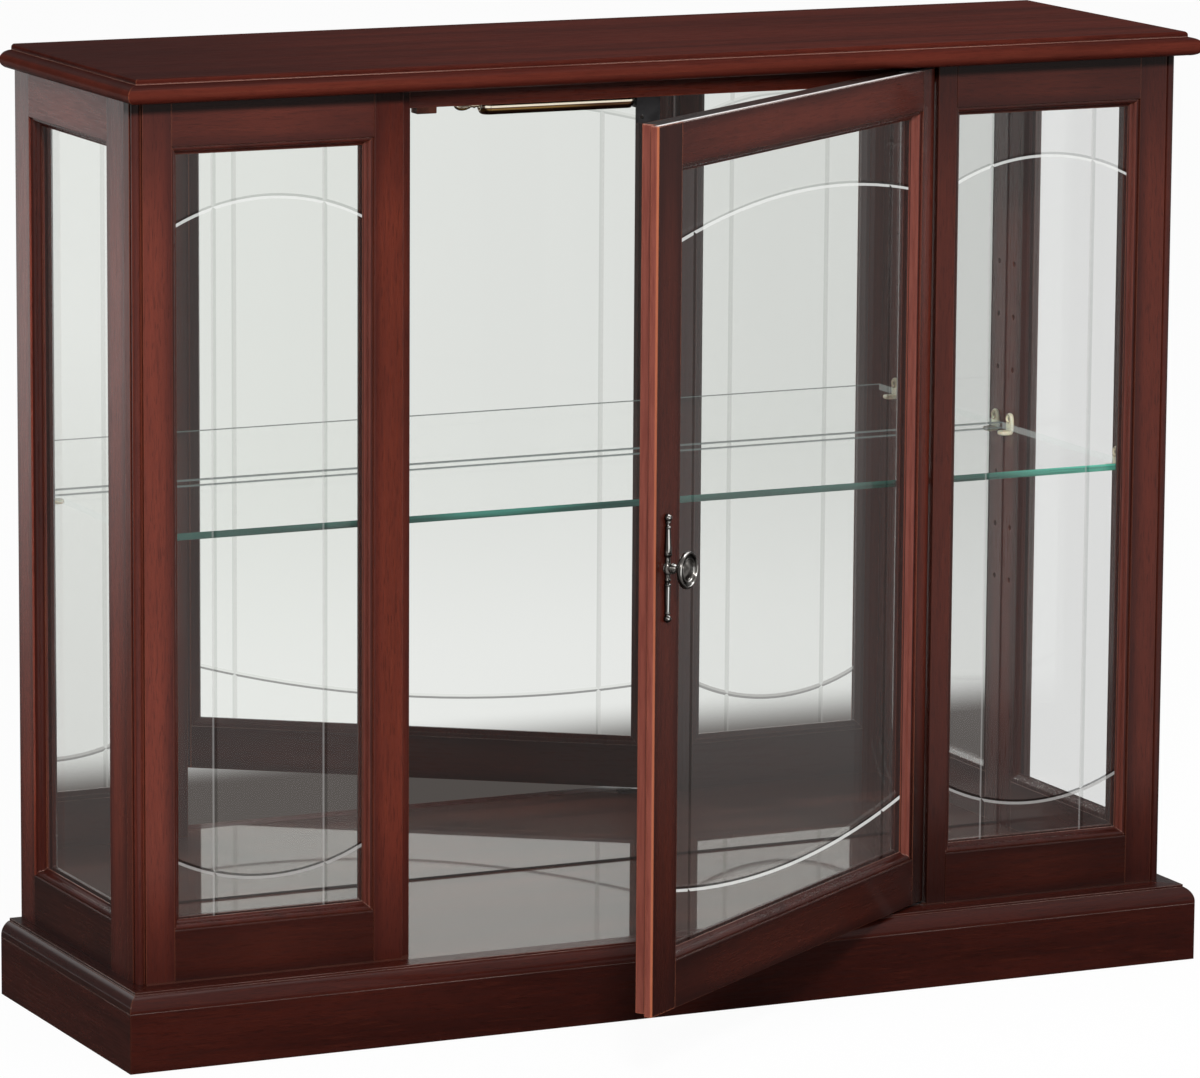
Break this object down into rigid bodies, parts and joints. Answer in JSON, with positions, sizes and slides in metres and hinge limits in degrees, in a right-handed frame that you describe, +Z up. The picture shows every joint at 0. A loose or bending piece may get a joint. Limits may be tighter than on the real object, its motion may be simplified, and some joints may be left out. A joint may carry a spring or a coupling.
{
  "type": "display cabinet",
  "caption": "Low wide glazed display cabinet in dark polished wood with a hinged glass door, mirror back, glass shelf, lamp under the top and a moulded plinth",
  "frame": {"origin": "middle of the plinth's footprint, on the underside of the centre bearer, at floor level", "axes": "+X to the right as seen from the front, +Y to the mirror at the back, +Z up; the door is hinged at its +X edge and stands open by 35.5 degrees"},
  "size_m": [1.016, 0.5734, 0.828],
  "materials": {
    "polished_wood": "dark red-brown wood, polished",
    "plain_wood": "plain sawn wood and board, matt",
    "pane_glass": "clear float glass with ground lines",
    "shelf_glass": "clear plate glass with green edges",
    "mirror_glass": "silvered mirror",
    "lamp_brass": "polished brass",
    "tube_glass": "frosted lamp glass",
    "steel": "plain steel",
    "aged_metal": "darkened antique metal",
    "clip_plastic": "pale moulded plastic"
  },
  "bodies": {
    "body": {"plinth_front": "polished_wood", "plinth_left": "polished_wood", "plinth_right": "polished_wood", "base_cap_front": "polished_wood", "base_cap_left": "polished_wood", "base_cap_right": "polished_wood", "floor_panel": "polished_wood", "left_front_outer_stile": "polished_wood", "left_front_inner_stile": "polished_wood", "right_front_inner_stile": "polished_wood", "right_front_outer_stile": "polished_wood", "left_front_top_rail": "polished_wood", "left_front_bottom_rail": "polished_wood", "right_front_top_rail": "polished_wood", "right_front_bottom_rail": "polished_wood", "left_side_front_stile": "polished_wood", "left_side_rear_stile": "polished_wood", "right_side_front_stile": "polished_wood", "right_side_rear_stile": "polished_wood", "left_side_top_rail": "polished_wood", "left_side_bottom_rail": "polished_wood", "right_side_top_rail": "polished_wood", "right_side_bottom_rail": "polished_wood", "header_rail": "polished_wood", "top_board": "polished_wood", "left_front_moulding": "polished_wood", "right_front_moulding": "polished_wood", "left_side_moulding": "polished_wood", "right_side_moulding": "polished_wood", "front_glazing_beads": "polished_wood", "side_glazing_beads": "polished_wood", "plinth_rear": "plain_wood", "plinth_centre_bearer": "plain_wood", "floor_cleats": "plain_wood", "back_panel": "plain_wood", "left_front_pane": "pane_glass", "right_front_pane": "pane_glass", "left_side_pane": "pane_glass", "right_side_pane": "pane_glass", "mirror": "mirror_glass", "back_screws": "steel", "glass_shelf": "shelf_glass", "shelf_clips": "clip_plastic", "magnetic_catch": "steel", "hinge_body_leaves": "steel", "lamp_canopy": "lamp_brass", "lamp_tube": "tube_glass", "lamp_bracket": "steel"},
    "door": {"door_moulding": "polished_wood", "door_glazing_beads": "polished_wood", "door_free_stile": "polished_wood", "door_hinge_stile": "polished_wood", "door_top_rail": "polished_wood", "door_bottom_rail": "polished_wood", "door_pane": "pane_glass", "hinge_door_leaves": "steel", "handle_rod": "aged_metal", "knob": "aged_metal", "strike_plate": "steel"},
    "switch": {"lamp_switch": "lamp_brass"}
  },
  "joints": [
    {"name": "door_hinge", "type": "hinge", "parent": "body", "child": "door", "pos_m": [0.247, -0.1125, 0.437], "axis": [0, 0, 1], "range_deg": [-35.5, 60.5]},
    {"name": "lamp_switch_turn", "type": "hinge", "parent": "body", "child": "switch", "pos_m": [-0.17, -0.069, 0.785], "axis": [1, 0, 0], "range_deg": [0, 90]}
  ]
}
